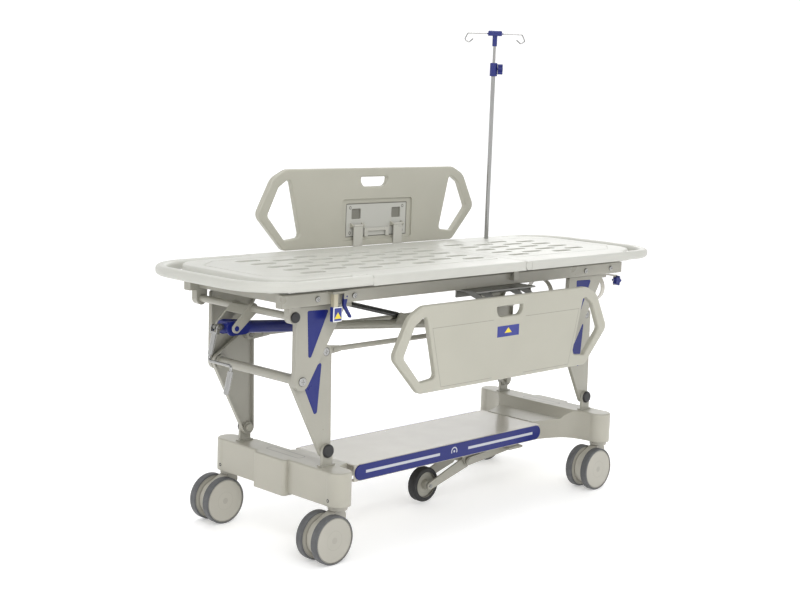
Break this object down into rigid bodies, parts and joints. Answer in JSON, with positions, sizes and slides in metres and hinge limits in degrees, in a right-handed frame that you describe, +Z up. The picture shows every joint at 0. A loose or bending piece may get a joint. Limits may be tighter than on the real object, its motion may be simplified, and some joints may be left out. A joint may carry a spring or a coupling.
{
  "type": "stretcher trolley",
  "caption": "Height-adjustable patient transport trolley with folding side rails, hinged backrest, drip pole, storage tray and swivelling castors.",
  "frame": {"origin": "on the floor under the middle of the deck", "axes": "+X from the foot end to the head end, +Y to the side with the raised rail, +Z up"},
  "size_m": [1.9298, 0.671, 1.628],
  "materials": {
    "grey_paint": "semi-gloss powder coat",
    "blue_plastic": "gloss",
    "blue_metal": "gloss powder coat",
    "deck_plastic": "fine moulded grain",
    "castor_tyre": "matt",
    "castor_plastic": "satin",
    "black_tyre": "matt",
    "black_plastic": "satin",
    "chrome": "polished",
    "black_metal": "satin",
    "base_plastic": "satin",
    "steel": "zinc plated"
  },
  "bodies": {
    "base": {"base_beam_foot": "base_plastic", "base_beam_head": "base_plastic", "storage_tray": "grey_paint", "tray_trims": "blue_plastic", "pivot_posts": "grey_paint", "base_pivot_pins": "black_plastic", "fifth_wheel_bracket": "grey_paint"},
    "castor 1": {"castor_fork_1": "castor_plastic"},
    "castor wheel 1": {"castor_wheel_1": "castor_tyre"},
    "castor 2": {"castor_fork_2": "castor_plastic"},
    "castor wheel 2": {"castor_wheel_2": "castor_tyre"},
    "castor 3": {"castor_fork_3": "castor_plastic"},
    "castor wheel 3": {"castor_wheel_3": "castor_tyre"},
    "castor 4": {"castor_fork_4": "castor_plastic"},
    "castor wheel 4": {"castor_wheel_4": "castor_tyre"},
    "steering pedal": {"fifth_wheel_rocker": "grey_paint"},
    "fifth wheel": {"fifth_wheel": "black_tyre"},
    "foot cranks": {"foot_cranks": "grey_paint", "foot_crank_inserts": "blue_plastic", "foot_rod_bolts": "chrome"},
    "head cranks": {"head_cranks": "grey_paint", "head_crank_inserts": "blue_plastic", "head_rod_bolts": "chrome"},
    "near rod": {"connecting_rod_near": "grey_paint"},
    "far rod": {"connecting_rod_far": "grey_paint"},
    "deck": {"deck_frame": "grey_paint", "upper_legs": "grey_paint", "upper_leg_inserts": "blue_plastic", "knee_pins": "chrome", "leg_bolts": "chrome", "foot_end_tube": "grey_paint", "end_tube_caps": "black_plastic", "foot_board": "deck_plastic", "foot_push_loop": "grey_paint", "rail_bracket_near": "grey_paint", "rail_bracket_far": "grey_paint", "release_lever_bracket": "grey_paint", "oxygen_bottle_holder": "grey_paint"},
    "jack housing": {"jack_housing": "blue_metal"},
    "push tube": {"push_tube": "grey_paint"},
    "jack screw": {"jack_screw": "chrome"},
    "crank": {"crank_handle": "chrome"},
    "crank grip": {"crank_grip": "chrome"},
    "spring cylinder": {"gas_spring_cylinder": "black_metal"},
    "spring rod": {"gas_spring_rod": "chrome"},
    "backrest": {"head_board": "deck_plastic", "head_push_loop": "grey_paint", "backrest_frame": "grey_paint", "backrest_pins": "chrome", "pole_lower_tube": "chrome"},
    "pole": {"pole_upper_tube": "chrome"},
    "pole knob": {"pole_clamp_knob": "blue_plastic"},
    "holder knob": {"oxygen_holder_knob": "blue_plastic"},
    "release lever": {"release_lever": "blue_plastic"},
    "near arms": {"swing_arms_near": "steel"},
    "near side rail": {"side_rail_near": "deck_plastic"},
    "near latch": {"latch_bar_near": "steel"},
    "far arms": {"swing_arms_far": "steel"},
    "far side rail": {"side_rail_far": "deck_plastic"},
    "far latch": {"latch_bar_far": "steel"}
  },
  "joints": [
    {"name": "castor_1_swivel", "type": "hinge", "parent": "base", "child": "castor 1", "pos_m": [-0.6129, -0.2594, 0.166], "axis": [0, 0, 1], "continuous": true},
    {"name": "castor_1_roll", "type": "hinge", "parent": "castor 1", "child": "castor wheel 1", "pos_m": [-0.6629, -0.2594, 0.075], "axis": [0, 1, 0], "continuous": true},
    {"name": "castor_2_swivel", "type": "hinge", "parent": "base", "child": "castor 2", "pos_m": [-0.6129, 0.2594, 0.166], "axis": [0, 0, 1], "continuous": true},
    {"name": "castor_2_roll", "type": "hinge", "parent": "castor 2", "child": "castor wheel 2", "pos_m": [-0.6629, 0.2594, 0.075], "axis": [0, 1, 0], "continuous": true},
    {"name": "castor_3_swivel", "type": "hinge", "parent": "base", "child": "castor 3", "pos_m": [0.6711, -0.2594, 0.166], "axis": [0, 0, 1], "continuous": true},
    {"name": "castor_3_roll", "type": "hinge", "parent": "castor 3", "child": "castor wheel 3", "pos_m": [0.6211, -0.2594, 0.075], "axis": [0, 1, 0], "continuous": true},
    {"name": "castor_4_swivel", "type": "hinge", "parent": "base", "child": "castor 4", "pos_m": [0.6711, 0.2594, 0.166], "axis": [0, 0, 1], "continuous": true},
    {"name": "castor_4_roll", "type": "hinge", "parent": "castor 4", "child": "castor wheel 4", "pos_m": [0.6211, 0.2594, 0.075], "axis": [0, 1, 0], "continuous": true},
    {"name": "steering_pedal", "type": "hinge", "parent": "base", "child": "steering pedal", "pos_m": [0.172, -0.03, 0.132], "axis": [0, 1, 0], "range_deg": [-3, 8]},
    {"name": "fifth_wheel_roll", "type": "hinge", "parent": "steering pedal", "child": "fifth wheel", "pos_m": [-0.003, -0.03, 0.07], "axis": [0, 1, 0], "continuous": true},
    {"name": "lift", "type": "hinge", "parent": "base", "child": "foot cranks", "pos_m": [-0.6054, 0, 0.3171], "axis": [0, -1, 0], "range_deg": [0, 78]},
    {"name": "head_crank", "type": "hinge", "parent": "base", "child": "head cranks", "pos_m": [0.6636, 0, 0.3171], "axis": [0, -1, 0], "range_deg": [0, 78]},
    {"name": "near_rod", "type": "hinge", "parent": "foot cranks", "child": "near rod", "pos_m": [-0.6112, -0.167, 0.6195], "axis": [0, -1, 0], "range_deg": [-78, 0]},
    {"name": "far_rod", "type": "hinge", "parent": "foot cranks", "child": "far rod", "pos_m": [-0.6112, 0.167, 0.6195], "axis": [0, -1, 0], "range_deg": [-78, 0]},
    {"name": "knee", "type": "hinge", "parent": "foot cranks", "child": "deck", "pos_m": [-0.7201, 0, 0.5443], "axis": [0, -1, 0], "range_deg": [-78, 0]},
    {"name": "jack_tilt", "type": "hinge", "parent": "deck", "child": "jack housing", "pos_m": [-0.835, 0, 0.689], "axis": [0, -1, 0], "range_deg": [0, 3.68]},
    {"name": "push_tube_travel", "type": "slide", "parent": "jack housing", "child": "push tube", "axis": [0.9968, 0, -0.0799], "range_m": [-0.1022, 0]},
    {"name": "spring_tilt", "type": "hinge", "parent": "push tube", "child": "spring cylinder", "pos_m": [-0.12, 0, 0.661], "axis": [0, -1, 0], "range_deg": [-0.4, 0]},
    {"name": "spring_stroke", "type": "slide", "parent": "spring cylinder", "child": "spring rod", "axis": [0.9705, 0, -0.2409], "range_m": [0, 0.109]},
    {"name": "jack_screw_turn", "type": "hinge", "parent": "jack housing", "child": "jack screw", "pos_m": [-0.835, 0, 0.689], "axis": [0.9968, 0, -0.0799], "continuous": true},
    {"name": "crank_fold", "type": "hinge", "parent": "jack screw", "child": "crank", "pos_m": [-0.87986, 0, 0.69259], "axis": [0, 1, 0], "range_deg": [0, 80.7]},
    {"name": "grip_spin", "type": "hinge", "parent": "crank", "child": "crank grip", "pos_m": [-0.90387, -0.108, 0.59552], "axis": [-0.2402, 0, -0.9707], "continuous": true},
    {"name": "backrest", "type": "hinge", "parent": "deck", "child": "backrest", "pos_m": [0.178, 0, 0.841], "axis": [0, -1, 0], "range_deg": [0, 70]},
    {"name": "pole_extend", "type": "slide", "parent": "backrest", "child": "pole", "axis": [0, 0, 1], "range_m": [0, 0.45]},
    {"name": "pole_knob_turn", "type": "hinge", "parent": "backrest", "child": "pole knob", "pos_m": [0.591, 0.252, 1.488], "axis": [0.7071, -0.7071, 0], "continuous": true},
    {"name": "holder_knob_turn", "type": "hinge", "parent": "deck", "child": "holder knob", "pos_m": [0.792, -0.215, 0.738], "axis": [0, 1, 0], "continuous": true},
    {"name": "release_lever_squeeze", "type": "hinge", "parent": "deck", "child": "release lever", "pos_m": [-0.59, -0.2415, 0.792], "axis": [0, 1, 0], "range_deg": [0, 15], "stiffness_Nm_per_rad": 1.5, "springref_deg": -8.59},
    {"name": "near_rail_swing", "type": "hinge", "parent": "deck", "child": "near arms", "pos_m": [0.054, -0.309, 0.74], "axis": [-1, 0, 0], "range_deg": [0, 180]},
    {"name": "near_rail_level", "type": "hinge", "parent": "near arms", "child": "near side rail", "pos_m": [0.054, -0.309, 0.554], "axis": [-1, 0, 0], "range_deg": [-180, 0]},
    {"name": "near_latch_slide", "type": "slide", "parent": "near side rail", "child": "near latch", "axis": [0, 0, 1], "range_m": [0, 0.012], "stiffness_N_per_m": 400, "springref_m": -0.006},
    {"name": "far_rail_swing", "type": "hinge", "parent": "deck", "child": "far arms", "pos_m": [0.054, 0.309, 0.74], "axis": [-1, 0, 0], "range_deg": [0, 180]},
    {"name": "far_rail_level", "type": "hinge", "parent": "far arms", "child": "far side rail", "pos_m": [0.054, 0.309, 0.926], "axis": [-1, 0, 0], "range_deg": [-180, 0]},
    {"name": "far_latch_slide", "type": "slide", "parent": "far side rail", "child": "far latch", "axis": [0, 0, 1], "range_m": [0, 0.012], "stiffness_N_per_m": 400, "springref_m": -0.006}
  ],
  "couplings": [
    {"joint": "head_crank", "follows": "lift", "ratio": 1},
    {"joint": "near_rod", "follows": "lift", "ratio": -1},
    {"joint": "far_rod", "follows": "lift", "ratio": -1},
    {"joint": "knee", "follows": "lift", "ratio": -1},
    {"joint": "jack_tilt", "follows": "lift", "ratio": 0.04331},
    {"joint": "push_tube_travel", "follows": "lift", "m_per_rad": -0.07359},
    {"joint": "spring_tilt", "follows": "lift", "ratio": -0.00125},
    {"joint": "spring_stroke", "follows": "lift", "m_per_rad": 0.07861},
    {"joint": "near_rail_level", "follows": "near_rail_swing", "ratio": -1},
    {"joint": "far_rail_level", "follows": "far_rail_swing", "ratio": -1}
  ]
}
